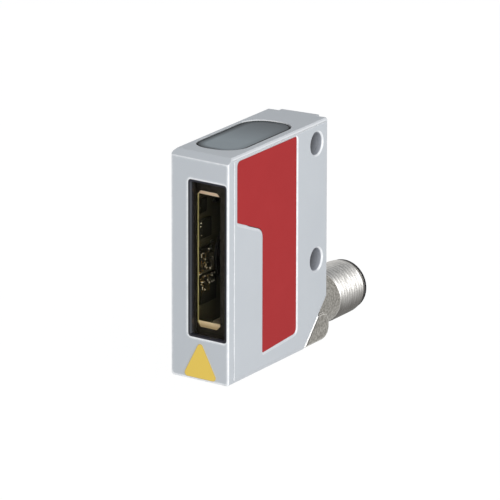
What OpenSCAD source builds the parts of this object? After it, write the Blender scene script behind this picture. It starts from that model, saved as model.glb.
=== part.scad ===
// Barcode positioning sensor: a small die-cast laser scanner head with a front window,
// an indicator lens on top, a labelled side cover and a swivelling round plug connector.
// The front faces -Y, the cover side faces +X, and the origin is in the middle of the base.
// All sizes are in millimetres.

/* [Housing] */
// Height of the housing
housing_height = 48; // [46:0.5:58]
// Depth of the housing from the front face to the rear face
housing_depth = 40.3; // [40:0.1:50]
// Width over the raised side cover
housing_width = 15; // [15:0.1:18]
// Thickness of the top, bottom and rear walls
wall = 1.3; // [1.1:0.1:1.5]
// Thickness of the front wall that holds the window
front_wall = 2.9; // [2.8:0.1:3.4]
// Thickness of the closed side wall
side_wall = 1.3; // [1:0.1:1.5]
// Angle by which the front face falls back towards the closed side
front_slant = 7; // [0:0.5:8]
// Leg of the 45 degree corner that carries the connector
corner_cut = 9.8; // [9.6:0.1:11]
// Thickness of the sloping wall at that corner
corner_wall = 1.6; // [1.4:0.1:2]
// Depth of the bevel along the top front edge
top_bevel_depth = 1.8; // [1:0.1:2.4]
// Height of the bevel along the top front edge
top_bevel_height = 1; // [0.5:0.1:1.5]
// Bevel along the upper side edges
edge_bevel = 0.5; // [0.3:0.1:0.8]
// Radius of the lower side edges
edge_round = 0.8; // [0.4:0.1:1]
// Radius of the upright edges
upright_round = 0.35; // [0.2:0.05:0.5]

/* [Rear pad] */
// Width of the raised pad on the rear face
pad_width = 9; // [6:0.5:11]
// How far the pad stands out of the rear face
pad_raise = 1.2; // [0.6:0.1:1.6]
// Height of the lower end of the pad
pad_bottom = 13; // [12.5:0.5:20]

/* [Side cover] */
// Thickness of the side cover
cover_thickness = 1.4; // [1.3:0.1:1.6]
// How far the cover stands out of the rim of the housing
cover_raise = 0.2; // [0.1:0.05:0.4]
// Width of the rim above, below and behind the cover
cover_rim = 0.6; // [0.5:0.1:0.7]
// Width of the rim in front of the cover
cover_front_rim = 2.1; // [2:0.1:2.6]
// Width of the rim along the 45 degree corner
cover_cut_rim = 0.9; // [0.7:0.1:1]
// Gap between the cover and the rim
cover_gap = 0.06; // [0.04:0.01:0.1]
// Thickness of the gasket under the cover
gasket_thickness = 0.3; // [0.2:0.05:0.4]

/* [Mounting holes] */
// Diameter of the two mounting holes
hole_d = 4.8; // [4.2:0.1:5]
// Height of the lower mounting hole
hole_from_base = 18.5; // [18:0.1:20]
// Distance of the upper hole from the top
hole_from_top = 4.5; // [4.5:0.1:5.5]
// Distance of the holes from the rear face
hole_from_rear = 4.8; // [4.7:0.1:5.2]
// Wall of the tubes round the mounting holes
boss_wall = 1.2; // [1:0.1:1.3]
// Bevel at the mouths of the mounting holes
hole_bevel = 0.35; // [0.2:0.05:0.6]

/* [Side label] */
// Depth of the recess for the side label
label_recess = 0.2; // [0.15:0.05:0.4]
// Width of the sloping edge round the recess
recess_slope = 0.5; // [0.3:0.05:0.7]
// Thickness of the side label
label_thickness = 0.1; // [0.05:0.05:0.15]
// Width of the upper part of the label
label_width = 23.8; // [22:0.1:24.5]
// Distance of the label from the front face
label_from_front = 3.5; // [3.1:0.1:4]
// Distance of the label from the top
label_from_top = 1.1; // [0.9:0.05:2]
// Height of the lower front corner of the label
label_bottom = 3.8; // [3:0.1:6]
// Rise of the lower edge of the label towards the rear
label_slant = 0.8; // [0:0.1:2]
// Width that is cut away at the lower front of the label
label_notch = 10.2; // [6:0.1:11.5]
// Height of the front end of the cut-away part
label_notch_height = 34; // [28:0.5:38]
// Angle of the upper edge of the cut-away part
label_notch_angle = 20; // [5:1:30]

/* [Window] */
// Width of the window opening
window_width = 10; // [8.5:0.1:10.2]
// Height of the lower edge of the window
window_bottom = 9; // [8.6:0.1:10]
// Distance of the upper edge of the window from the top
window_from_top = 5.5; // [5.4:0.1:8]
// Metal left between the window and the cover side
window_rim = 0.5; // [0.45:0.05:0.8]
// Corner radius of the window
window_round = 0.7; // [0.5:0.1:1]
// Visible width of the window frame
frame_border = 0.8; // [0.6:0.1:1]
// Thickness of the frame behind its lip
frame_skirt = 0.35; // [0.3:0.05:0.5]
// Depth of the frame lip in front of the pane
frame_lip = 0.7; // [0.5:0.1:0.8]
// Thickness of the window pane
pane_thickness = 1; // [0.8:0.1:1.2]
// Clearance round the frame and round the pane
window_clearance = 0.05; // [0.03:0.01:0.08]

/* [Front marker] */
// Width of the three-cornered marker under the window, between its sharp corners
marker_width = 9; // [7:0.1:9.4]
// Height of the marker up to its sharp corner
marker_height = 8.1; // [6:0.1:8.2]
// Height of the lower edge of the marker
marker_bottom = 0.4; // [0.3:0.05:0.6]
// Corner radius of the marker
marker_round = 0.7; // [0.4:0.1:1]
// Thickness of the marker
marker_thickness = 0.12; // [0.1:0.01:0.15]

/* [Indicator lens] */
// Metal left beside the lens on the closed side
lens_left_rim = 1.2; // [1.1:0.1:2.5]
// Metal left beside the lens on the cover side
lens_right_rim = 2.2; // [2.1:0.1:3.5]
// Length of the indicator lens
lens_length = 26; // [20:0.5:28]
// Distance of the lens from the front face
lens_from_front = 6.2; // [6:0.1:8]
// Corner radius of the lens
lens_round = 4.9; // [3:0.1:5]
// Thickness of the lens
lens_thickness = 0.8; // [0.6:0.1:0.9]
// Width of the ledge that the lens lies on
lens_ledge = 0.8; // [0.5:0.1:1.2]
// How deep the lens lies below the top face
lens_sink = 0.15; // [0:0.05:0.2]

/* [Scanner optics] */
// Distance of the mirror wheel axis from the front face
wheel_from_front = 21; // [20:0.1:22]
// Distance of the mirror wheel axis from the top
wheel_from_top = 26; // [25.5:0.1:26.5]
// Number of mirror facets on the wheel
wheel_facets = 8; // [6:1:10]
// Width of the wheel across its facets
wheel_width = 14; // [13:0.1:14.5]
// Thickness of the mirror wheel
wheel_thickness = 3.6; // [3:0.1:4]
// Diameter of the motor shaft
shaft_d = 1.2; // [1:0.05:1.4]
// Radial clearance of the shaft in its bearing
shaft_clearance = 0.03; // [0.02:0.01:0.05]
// Outer diameter of the rotor cup
rotor_d = 11; // [10:0.1:12]
// Diameter of the laser barrel
laser_d = 5.2; // [4.6:0.1:5.6]
// Height of the receiving axis above the wheel axis
receiver_rise = 12.4; // [12:0.1:13]
// Diameter of the receiving lens
receiver_lens_d = 5.8; // [5:0.1:6]
// Width of the scan aperture in the optics carrier
aperture_width = 6; // [5:0.1:6.4]
// Height of the sloping lips at both ends of the aperture
aperture_lip = 1; // [0.4:0.1:1.4]

/* [Circuit boards] */
// Thickness of the main board
board_thickness = 0.8; // [0.6:0.1:1]
// Height of the posts under the main board
board_post = 0.6; // [0.5:0.1:0.8]
// Width of the main board, front to rear
board_width = 24.4; // [23:0.1:25]
// Distance of the main board from the top
board_from_top = 6.7; // [6.5:0.1:9]
// Distance of the main board from the inner floor
board_lift = 3; // [2.5:0.1:4]
// Thickness of the indicator board
led_board_thickness = 0.6; // [0.5:0.1:0.8]

/* [Swivel connector] */
// Outer diameter of the threaded end
thread_d = 11.6; // [11.3:0.1:11.6]
// Length of the thread
thread_length = 9.4; // [8:0.1:12]
// Length of the plain nose behind the thread
nose_length = 2.2; // [1:0.1:3]
// Diameter of the plain nose
nose_d = 10.6; // [10.2:0.1:10.7]
// Distance of the thread from the rear face of the housing
neck_length = 8.8; // [8:0.1:10]
// Diameter of the neck in front of the thread
neck_d = 11.2; // [11:0.1:11.2]
// Height of the connector axis at rest
connector_height = 5.8; // [5.8:0.1:6.2]
// How far the flat sides of the swivel foot lie inside the sides of the housing
foot_inset = 0.3; // [0.2:0.05:0.8]
// Height of the shoulder of the swivel foot
foot_shoulder = 5.9; // [5.2:0.1:6.4]
// How far the swivel foot reaches behind the rear face
foot_reach = 1.4; // [1:0.1:2]
// Radius of the rounded end of the swivel foot
foot_round = 2.7; // [1.5:0.1:2.8]
// Bevel along the side edges of the swivel foot
foot_bevel = 0.35; // [0.2:0.05:0.5]
// Gap between the swivel foot and the housing
foot_gap = 0.3; // [0.2:0.05:0.4]
// Diameter of the swivel spigot inside the housing
spigot_d = 8.8; // [8:0.1:9]
// Radial clearance of the spigot in its bore
spigot_clearance = 0.05; // [0.03:0.01:0.08]
// Length of the guide bore for the spigot
guide_length = 4.2; // [4:0.1:4.6]
// Wall of the guide tube for the spigot
guide_wall = 1.2; // [1:0.1:1.3]
// Thickness of the retaining ring on the spigot
ring_thickness = 0.6; // [0.5:0.1:0.8]
// Cord diameter of the sealing ring on the spigot
seal_cord = 1; // [0.8:0.1:1.2]
// Bore of the plug cavity
cavity_d = 8.5; // [8.2:0.1:8.7]
// Depth of the plug cavity
cavity_depth = 8; // [7:0.1:9]
// Diameter of the contact pins
pin_d = 1; // [0.9:0.05:1.1]
// Radius of the circle of contact pins
pin_circle = 2.5; // [2.2:0.1:2.7]

/* [Hidden] */
$fn = 64;
eps = 0.01;
// How far a cut runs past the face that it opens
past = 1;
// How far a solid reaches into the one that it is joined to
joint = 1;

// Faces and places of the housing
x_left = -housing_width / 2;
x_right = housing_width / 2;
x_rim = x_right - cover_raise;
x_cover = x_right - cover_thickness;
x_seat = x_cover - gasket_thickness;
x_floor = x_left + side_wall;
y_front = -housing_depth / 2;
y_rear = housing_depth / 2;
y_inside = y_front + front_wall;
z_ceiling = housing_height - wall;
// How far a slanted face lies behind its place on the cover side, at a given x
function slant(x) = (x_right - x) * tan(front_slant);
// The sloping corner lies on the line y - z = cut_line
cut_line = y_rear - corner_cut;
y_cut = y_rear - corner_cut / 2;
z_cut = corner_cut / 2;
boss_d = hole_d + 2 * boss_wall;
hole_y = y_rear - hole_from_rear;
hole_zs = [hole_from_base, housing_height - hole_from_top];

// Window, frame and pane
window_height = housing_height - window_bottom - window_from_top;
window_x1 = x_rim - window_rim;
window_x0 = window_x1 - window_width;
frame_depth = frame_lip + pane_thickness;

// Circuit board places
x_board = x_floor + board_post;
x_board_face = x_board + board_thickness;
board_y0 = y_inside + slant(x_board) + 1.6;
board_z0 = wall + board_lift;
board_z1 = housing_height - board_from_top;
board_corner = 7;
screw_inset = 2.2;
board_holes = [[board_y0 + screw_inset, board_z0 + screw_inset],
    [board_y0 + screw_inset, board_z1 - screw_inset],
    [board_y0 + board_width - screw_inset, board_z1 - screw_inset]];
// Chips: distances from the front edge and the top edge of the board, width, height, thickness
chips = [[1.5, 21.5, 6.5, 6, 0.9], [1.5, 15.5, 4, 5, 0.8], [1.2, 9.5, 5, 4, 0.8], [1.5, 5, 3, 3, 0.7],
    [19, 7.5, 5, 4, 0.9], [16.5, 3, 4, 3, 0.7], [8, 5, 3, 2, 0.6], [12.5, 4, 3, 2, 0.6]];
screw_d = 1.4;
screw_head_d = 2.6;
screw_head = 0.7;
screw_depth = 0.7;
post_d = 3;
socket_from_front = 8;
socket_length = 7;
socket_height = 3.8;
socket_depth = 2.6;
socket_lift = 0.6;
socket_wall = 0.5;

// Indicator lens, its board and its lamps
lens_width = housing_width - lens_left_rim - lens_right_rim;
lens_offset = (lens_left_rim - lens_right_rim) / 2;
lens_y = y_front + lens_from_front + lens_length / 2;
led_height = 0.7;
led_size = 1.6;
led_gap = 0.5;
led_board_top = z_ceiling - led_gap - led_height;
led_board_z = led_board_top - led_board_thickness;
led_board_y0 = y_front + lens_from_front + 1;
// The board ends in front of the tube round the upper mounting hole
led_board_y1 = hole_y - boss_d / 2 - 0.8;

// Scanner: the beam runs down on one front facet of the wheel and out of the window
y_wheel = y_front + wheel_from_front;
wheel_height = housing_height - wheel_from_top;
x_beam = (window_x0 + window_x1) / 2;
y_beam = y_wheel - wheel_width / 2 * cos(45);
z_receiver = wheel_height + receiver_rise;
wheel_x0 = x_beam - wheel_thickness / 2;
wheel_x1 = x_beam + wheel_thickness / 2;
// Motor, stacked up from the main board towards the wheel
motor_plate = 0.6;
motor_plate_d = 13;
tube_d = 3.2;
bush_d = 2.3;
cup_wall = 0.5;
cup_gap = 0.3;
tube_gap = 0.25;
cup_x1 = wheel_x0;
cup_x0 = x_board_face + motor_plate + cup_gap;
tube_x1 = cup_x1 - cup_wall - tube_gap;
magnet_wall = 0.7;
coil_count = 6;
coil_gap = 0.3;
coil_out = rotor_d / 2 - cup_wall - magnet_wall - coil_gap;
// Optics carrier
carrier_x1 = x_seat - 0.1;
carrier_wall = 1;
carrier_half = 3.3;
carrier_x0 = x_beam - carrier_half;
carrier_top = led_board_z;
carrier_front = 0.9;
carrier_rear = hole_y - boss_d / 2 - 1;
shelf = 1.2;
rear_wall = 0.8;
rail_drop = 3.9;
rail_bottom = z_receiver - rail_drop;
block_lift = 3.4;
block_bottom = z_receiver + block_lift;
block_half = 3.6;
aperture_bottom_inset = 1.5;
aperture_top_inset = 2.9;
aperture_shift = 1.75;
aperture_corner = 0.9;
aperture_flare = 0.25;
aperture_z0 = window_bottom + aperture_bottom_inset;
aperture_z1 = window_bottom + window_height - aperture_top_inset;
aperture_x1 = x_beam + aperture_width / 2 - aperture_shift;
aperture_x0 = aperture_x1 - aperture_width;
plate_lift = 3.4;
plate_bottom = wall + plate_lift;
// How far the aperture plate moves sideways as it turns with the front face
plate_shift = (front_wall + carrier_front) * sin(front_slant);
// The collecting mirror is centred on the beam and ends just short of the rail
mirror_gap = 0.1;
mirror_wide = 2 * (carrier_x1 - carrier_wall - mirror_gap - x_beam);
mirror_long = 8;
mirror_thick = 0.9;
mirror_back = mirror_thick * sqrt(2);
beam_d = 1.8;
lens_wall_back = 1.8;
lens_wall_y = y_wheel + lens_wall_back;
lens_wall = 1.6;
lens_bulge = 0.8;
diode_d = 3.8;
diode_long = 2.6;
diode_sink = 0.2;
lead_out = 0.5;
lead_d = 0.45;
lead_circle = 1.1;
barrel_seat = 0.6;
barrel_wall = 0.7;
barrel_bottom = block_bottom + barrel_seat;
barrel_top = carrier_top - 0.7;
collimator_long = 1.1;
collimator_seat = 0.1;
seat_clearance = 0.03;
sensor_board = 0.6;
sensor_board_down = 3.2;
sensor_board_up = 5;
sensor_size = 3;
sensor_thick = 0.9;

// Swivel connector, with its axis square to the sloping corner
thread_y0 = y_rear + neck_length;
thread_y1 = thread_y0 + thread_length;
nose_y1 = thread_y1 + nose_length;
sleeve_d = thread_d - 2;
sleeve_in = 5;
insert_y1 = nose_y1 - cavity_depth;
insert_long = 4;
pin_sink = 2;
pin_tail = 1;
foot_floor = 0.05;
foot_half = housing_width / 2 - foot_inset;
// The front face of the swivel foot lies on the line y - z = foot_line
foot_line = cut_line + foot_gap * sqrt(2);
groove_clearance = 0.05;
spigot_end = guide_length + ring_thickness + 0.9;
ring_start = guide_length + 0.15;
ring_groove_d = spigot_d - 1.2;
ring_d = spigot_d + 1.6;
seal_place = 2.4;
seal_groove_d = spigot_d - 2 * seal_cord + 0.06;
wire_bore = 5;

zinc = [0.76, 0.78, 0.8];
nickel = [0.62, 0.6, 0.57];
black = [0.09, 0.09, 0.1];
red = [0.66, 0.2, 0.2];
yellow = [0.92, 0.78, 0.3];
smoke = [0.35, 0.37, 0.39];
green = [0.1, 0.3, 0.2];
gold = [0.72, 0.58, 0.28];
steel = [0.7, 0.7, 0.72];
brass = [0.75, 0.6, 0.3];

// A flat outline in (y, z), drawn through from x0 to x1
module side_extrude(x0, x1) {
    translate([x0, 0, 0])
        rotate([90, 0, 90])
            linear_extrude(x1 - x0)
                children();
}

// A flat outline in (x, z), drawn through from y0 to y1
module front_extrude(y0, y1) {
    translate([0, y1, 0])
        rotate([90, 0, 0])
            linear_extrude(y1 - y0)
                children();
}

// A rod along x, y or z
module rod_x(x0, x1, y, z, d) {
    translate([x0, y, z])
        rotate([0, 90, 0])
            cylinder(h = x1 - x0, d = d);
}

module rod_y(y0, y1, x, z, d) {
    translate([x, y0, z])
        rotate([-90, 0, 0])
            cylinder(h = y1 - y0, d = d);
}

// Turns children with the slanted front face, about the front corner on the cover side
module slanted() {
    translate([x_right, y_front, 0])
        rotate([0, 0, -front_slant])
            translate([-x_right, -y_front, 0])
                children();
}

module box(x0, x1, y0, y1, z0, z1) {
    translate([x0, y0, z0])
        cube([x1 - x0, y1 - y0, z1 - z0]);
}

// Places children at a point with their z axis pointing rearward and down at 45 degrees
module sloping(x, y, z) {
    translate([x, y, z])
        rotate([-135, 0, 0])
            children();
}

// Corner arc number i of a polygon, from its neighbours, its radius and the count of steps
function unit(v) = v / norm(v);
function corner_arc(a, b, c, r, steps = 8) =
    let (
        u = unit(a - b),
        w = unit(c - b),
        half = acos(max(-1, min(1, u * w))) / 2,
        middle = b + unit(u + w) * r / sin(half),
        start = b + u * r / tan(half) - middle,
        stop = b + w * r / tan(half) - middle,
        a0 = atan2(start[1], start[0]),
        turn = atan2(stop[1], stop[0]) - a0,
        swing = turn > 180 ? turn - 360 : turn < -180 ? turn + 360 : turn
    )
    [for (k = [0:steps]) middle + r * [cos(a0 + swing * k / steps), sin(a0 + swing * k / steps)]];

// A polygon with each corner rounded by its own radius
function rounded(points, radii) =
    let (n = len(points))
    [for (i = [0:n - 1])
        each radii[i] > 0
            ? corner_arc(points[(i + n - 1) % n], points[i], points[(i + 1) % n], radii[i])
            : [points[i]]];

// A rectangle between two corners with four equal corner radii
module rounded_box(x0, x1, y0, y1, r) {
    polygon(rounded([[x0, y0], [x1, y0], [x1, y1], [x0, y1]], [r, r, r, r]));
}

// Outline of the housing seen from the side, with its walls set in by the given amounts
function side_outline(front, rim, cut) =
    let (line = cut_line - cut * sqrt(2))
    [[y_front + front, rim], [line + rim, rim], [y_rear - rim, y_rear - rim - line],
        [y_rear - rim, housing_height - rim], [y_front + front, housing_height - rim]];

// The space behind a plane that lies parallel to the slanted front face, at y on the cover side
module behind_front(y) {
    slanted()
        box(x_left - housing_depth, x_right + housing_depth, y, y_rear + housing_width, -past,
            housing_height + past);
}

// The solid form of the housing: outlines that cross each other
module housing_form() {
    intersection() {
        side_extrude(x_left, x_rim)
            polygon([[y_front, 0], [cut_line, 0], [y_rear, corner_cut], [y_rear, housing_height],
                [y_front, housing_height]]);
        slanted()
            side_extrude(x_left - housing_depth, x_right + housing_depth)
                polygon([[y_front, 0], [y_rear + housing_width, 0],
                    [y_rear + housing_width, housing_height], [y_front + top_bevel_depth, housing_height],
                    [y_front, housing_height - top_bevel_height]]);
        front_extrude(y_front, y_rear)
            polygon(concat(
                corner_arc([x_left, housing_height], [x_left, 0], [x_rim, 0], edge_round),
                corner_arc([x_left, 0], [x_rim, 0], [x_rim, housing_height], edge_round / 2),
                [[x_rim, housing_height - edge_bevel], [x_rim - edge_bevel, housing_height],
                    [x_left + edge_bevel, housing_height], [x_left, housing_height - edge_bevel]]));
        linear_extrude(housing_height)
            polygon(rounded([[x_left, y_front + slant(x_left)], [x_rim, y_front + slant(x_rim)],
                [x_rim, y_rear], [x_left, y_rear]], [for (i = [0:3]) upright_round]));
    }
}

module lens_outline(margin) {
    translate([lens_offset, lens_y])
        rounded_box(-lens_width / 2 - margin, lens_width / 2 + margin,
            -lens_length / 2 - margin, lens_length / 2 + margin, lens_round + margin);
}

module housing() {
    color(zinc)
    difference() {
        union() {
            difference() {
                housing_form();
                intersection() {
                    side_extrude(x_floor, x_rim + past)
                        polygon(side_outline(front_wall, wall, corner_wall));
                    behind_front(y_inside);
                }
                side_extrude(x_seat, x_rim + past)
                    polygon(side_outline(cover_front_rim, cover_rim, cover_cut_rim));
            }
            // Tubes round the mounting holes
            for (z = hole_zs)
                rod_x(x_floor - eps, x_cover, hole_y, z, boss_d);
            // Posts under the main board
            for (p = board_holes)
                rod_x(x_floor - eps, x_board, p[0], p[1], post_d);
            // Guide tube for the spigot of the connector
            intersection() {
                sloping(0, y_cut, z_cut)
                    translate([0, 0, -guide_length])
                        cylinder(h = guide_length - corner_wall / 2, d = spigot_d + 2 * guide_wall);
                side_extrude(x_left, x_seat)
                    polygon(side_outline(front_wall, wall / 2, corner_wall / 2));
            }
            // Raised pad on the rear face
            front_extrude(y_rear - eps, y_rear + pad_raise)
                polygon(rounded([[-pad_width / 2, pad_bottom], [pad_width / 2, pad_bottom],
                    [pad_width / 2, housing_height], [-pad_width / 2, housing_height]], [1.5, 1.5, 0, 0]));
        }
        // Mounting holes with bevelled mouths on the closed side
        for (z = hole_zs) {
            rod_x(x_left - past, x_right, hole_y, z, hole_d);
            translate([x_left - eps, hole_y, z])
                rotate([0, 90, 0])
                    cylinder(h = hole_bevel, d1 = hole_d + 2 * hole_bevel, d2 = hole_d);
        }
        // Blind holes for the board screws
        for (p = board_holes)
            rod_x(x_board - board_post - screw_depth, x_board + past, p[0], p[1], screw_d + 0.06);
        // Window opening
        slanted()
            front_extrude(y_front - past, y_inside + past)
                rounded_box(window_x0, window_x1, window_bottom, window_bottom + window_height,
                    window_round);
        // Stepped opening for the indicator lens
        translate([0, 0, housing_height - lens_sink - lens_thickness])
            linear_extrude(lens_thickness + lens_sink + past)
                lens_outline(0.06);
        translate([0, 0, z_ceiling - past])
            linear_extrude(wall + 2 * past)
                lens_outline(-lens_ledge);
        // Bore for the spigot of the connector
        sloping(0, y_cut, z_cut)
            translate([0, 0, -guide_length - past])
                cylinder(h = guide_length + 2 * past, d = spigot_d + 2 * spigot_clearance);
    }
}

// Outline of the side label in (y, z), larger by a margin on every side
function label_outline(margin) =
    let (
        y0 = y_front + label_from_front - margin,
        y1 = y_front + label_from_front + label_width + margin,
        y2 = y_front + label_from_front + label_notch - margin,
        z0 = label_bottom - margin,
        z1 = housing_height - label_from_top + min(margin, 0.25),
        z2 = label_notch_height - margin,
        z3 = z2 - (y2 - y0) * tan(label_notch_angle)
    )
    rounded([[y0, z1], [y0, z2], [y2, z3], [y2, z0], [y1, z0 + label_slant], [y1, z1]],
        [1.1 + margin, 0.3 + margin, 2.6 - margin, 0.2 + margin, 1.2 + margin, 0.5 + margin]);

// A solid between two rings with as many points, where the first runs clockwise seen from outside
module loft(ring0, ring1) {
    n = len(ring0);
    polyhedron(
        points = concat(ring0, ring1),
        faces = concat(
            [[for (i = [0:n - 1]) i]],
            [[for (i = [0:n - 1]) 2 * n - 1 - i]],
            [for (i = [0:n - 1]) each [[i, i + n, (i + 1) % n], [(i + 1) % n, i + n, (i + 1) % n + n]]]));
}

// A solid between two outlines in (y, z), one at x0 and one at x1
module side_loft(outline0, x0, outline1, x1) {
    loft([for (p = outline0) [x0, p[0], p[1]]], [for (p = outline1) [x1, p[0], p[1]]]);
}

module side_cover() {
    color(zinc)
    difference() {
        intersection() {
            side_extrude(x_cover, x_right)
                polygon(side_outline(cover_front_rim + cover_gap, cover_rim + cover_gap,
                    cover_cut_rim + cover_gap));
            // Small bevel along the long edges of the raised face
            front_extrude(y_front, y_rear)
                polygon([[x_cover, 0], [x_right - cover_raise, 0], [x_right, cover_rim + 0.3],
                    [x_right, housing_height - cover_rim - 0.3], [x_right - cover_raise, housing_height],
                    [x_cover, housing_height]]);
        }
        // Recess for the label, with a sloping edge
        side_loft(label_outline(0.1), x_right - label_recess,
            label_outline(0.1 + recess_slope), x_right);
        side_extrude(x_right - eps, x_right + past)
            polygon(label_outline(0.1 + recess_slope));
        for (z = hole_zs) {
            rod_x(x_cover - past, x_right + past, hole_y, z, hole_d);
            translate([x_right - hole_bevel, hole_y, z])
                rotate([0, 90, 0])
                    cylinder(h = hole_bevel + eps, d1 = hole_d, d2 = hole_d + 2 * hole_bevel);
        }
    }
}

module cover_gasket() {
    color(black)
    difference() {
        side_extrude(x_seat, x_cover)
            difference() {
                polygon(side_outline(cover_front_rim + 0.1, cover_rim + 0.1, cover_cut_rim + 0.1));
                polygon(side_outline(front_wall + 0.05 + slant(x_seat), wall, corner_wall));
            }
        for (z = hole_zs)
            rod_x(x_seat - past, x_cover + past, hole_y, z, boss_d + 0.1);
        slanted()
            front_extrude(y_front - past, y_inside + past)
                rounded_box(window_x0, window_x1, window_bottom - 0.1, window_bottom + window_height + 0.1,
                    window_round);
    }
}

module side_label() {
    color(red)
    side_extrude(x_right - label_recess, x_right - label_recess + label_thickness)
        polygon(label_outline(0));
}

module front_marker() {
    color(yellow)
    slanted()
    front_extrude(y_front - marker_thickness, y_front)
        polygon(rounded([[-marker_width / 2, marker_bottom], [marker_width / 2, marker_bottom],
            [0, marker_bottom + marker_height]], [marker_round, marker_round, marker_round]));
}

module window_frame() {
    color(black)
    slanted()
    difference() {
        front_extrude(y_front, y_front + frame_depth)
            rounded_box(window_x0 + window_clearance, window_x1 - window_clearance,
                window_bottom + window_clearance, window_bottom + window_height - window_clearance,
                window_round - window_clearance);
        // Sight opening, widening towards the front
        hull() {
            front_extrude(y_front + frame_lip - 0.15, y_front + frame_depth + past)
                sight_outline(0);
            front_extrude(y_front - 0.1, y_front)
                sight_outline(0.35);
        }
        front_extrude(y_front + frame_lip, y_front + frame_depth + past)
            sight_outline(frame_border - frame_skirt);
    }
}

// Outline of the sight opening of the window frame, larger by a margin
module sight_outline(margin) {
    inset = frame_border - margin;
    rounded_box(window_x0 + inset, window_x1 - inset, window_bottom + inset,
        window_bottom + window_height - inset, 0.4);
}

module window_pane() {
    color([0.1, 0.12, 0.1, 0.6])
    slanted()
    front_extrude(y_front + frame_lip, y_front + frame_depth)
        sight_outline(frame_border - frame_skirt - window_clearance);
}

module indicator_lens() {
    base = housing_height - lens_sink - lens_thickness;
    edge = 0.25;
    color(smoke)
    hull() {
        translate([0, 0, base])
            linear_extrude(lens_thickness - edge)
                lens_outline(0);
        translate([0, 0, base])
            linear_extrude(lens_thickness)
                lens_outline(-edge);
    }
}

module indicator_board() {
    color(green)
    box(x_floor + 0.3, carrier_x1, led_board_y0, led_board_y1, led_board_z, led_board_top);
}

module indicator_leds() {
    color("white")
    for (y = [lens_y - lens_length / 4, lens_y, lens_y + lens_length / 4])
        box(lens_offset - led_size / 2, lens_offset + led_size / 2, y - led_size / 2, y + led_size / 2,
            led_board_top, led_board_top + led_height);
}

module main_board() {
    y1 = board_y0 + board_width;
    color(green)
    difference() {
        side_extrude(x_board, x_board_face)
            polygon([[board_y0, board_z0], [y1 - board_corner, board_z0], [y1, board_z0 + board_corner],
                [y1, board_z1], [board_y0, board_z1]]);
        for (p = board_holes)
            rod_x(x_board - past, x_board_face + past, p[0], p[1], screw_d + 0.1);
    }
}

module board_chips() {
    color(black)
    for (c = chips)
        box(x_board_face, x_board_face + c[4], board_y0 + c[0], board_y0 + c[0] + c[2],
            board_z1 - c[1] - c[3], board_z1 - c[1]);
}

module board_screws() {
    color(steel)
    for (p = board_holes)
        difference() {
            union() {
                rod_x(x_board_face, x_board_face + screw_head, p[0], p[1], screw_head_d);
                rod_x(x_board - board_post - screw_depth + 0.1, x_board_face + eps, p[0], p[1], screw_d);
            }
            rotate([90, 0, 90])
                translate([p[0], p[1], x_board_face + screw_head / 2])
                    cylinder(h = screw_head, d = 1.3, $fn = 6);
        }
}

module wire_socket() {
    y0 = board_y0 + socket_from_front;
    y1 = y0 + socket_length;
    z0 = board_z0 + socket_lift;
    z1 = z0 + socket_height;
    color("ivory")
    difference() {
        box(x_board_face, x_board_face + socket_depth, y0, y1, z0, z1);
        box(x_board_face + socket_wall, x_board_face + socket_depth + past, y0 + socket_wall,
            y1 - socket_wall, z0 + socket_wall, z1 - socket_wall);
    }
}

// Ring at y round the scan aperture, with cut corners, wider by flare and with lips set in
function aperture_ring(y, flare, lip, corner) =
    let (
        x0 = aperture_x0 - flare,
        x1 = aperture_x1 + flare,
        z0 = aperture_z0 + lip,
        z1 = aperture_z1 - lip,
        c = corner
    )
    [[x0, y, z0 + c], [x0, y, z1 - c], [x0 + c, y, z1], [x1 - c, y, z1],
        [x1, y, z1 - c], [x1, y, z0 + c], [x1 - c, y, z0], [x0 + c, y, z0]];

module optics_carrier() {
    color(gold)
    difference() {
        union() {
            // Aperture plate behind the window, with sloping lips at both ends of its opening
            slanted()
            difference() {
                front_extrude(y_inside, y_inside + carrier_front)
                    rounded_box(x_floor + 0.2 - plate_shift, carrier_x1 - plate_shift, plate_bottom,
                        carrier_top, 0.5);
                loft(aperture_ring(y_inside - eps, 0, 0, aperture_corner),
                    aperture_ring(y_inside + carrier_front + eps, aperture_flare, aperture_lip, 0.05));
            }
            // Shelf under the indicator board and rail beside the cover
            intersection() {
                union() {
                    box(carrier_x0, carrier_x1, y_inside, carrier_rear, carrier_top - shelf, carrier_top);
                    box(carrier_x1 - carrier_wall, carrier_x1, y_inside, carrier_rear,
                        rail_bottom, carrier_top - shelf + eps);
                }
                behind_front(y_inside + carrier_front / 2);
            }
            // Laser block with the slanting seat of the collecting mirror under it
            box(carrier_x0, carrier_x1, y_beam - block_half, y_beam + block_half,
                block_bottom, carrier_top - shelf + eps);
            side_extrude(carrier_x0, carrier_x1)
                polygon([[y_beam - block_half, block_bottom + eps],
                    [y_beam - block_half, z_receiver - block_half + mirror_back],
                    [y_beam + block_bottom - z_receiver - mirror_back, block_bottom],
                    [y_beam + block_bottom - z_receiver - mirror_back, block_bottom + eps]]);
            // Wall that holds the receiving lens, and rear wall behind the receiver board
            box(carrier_x0, carrier_x1, lens_wall_y, lens_wall_y + lens_wall, rail_bottom,
                carrier_top - shelf + eps);
            box(carrier_x0, carrier_x1, carrier_rear - rear_wall, carrier_rear, rail_bottom,
                carrier_top - shelf + eps);
        }
        // Bore for the laser barrel, and the narrow way for the beam below it
        translate([x_beam, y_beam, barrel_bottom])
            cylinder(h = carrier_top - barrel_bottom + past, d = laser_d + 2 * seat_clearance);
        translate([x_beam, y_beam, rail_bottom])
            cylinder(h = barrel_bottom - rail_bottom + eps, d = beam_d);
        // Bore for the receiving lens
        rod_y(lens_wall_y - past, lens_wall_y + lens_wall + past, x_beam, z_receiver,
            receiver_lens_d + 2 * seat_clearance);
    }
}

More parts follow.
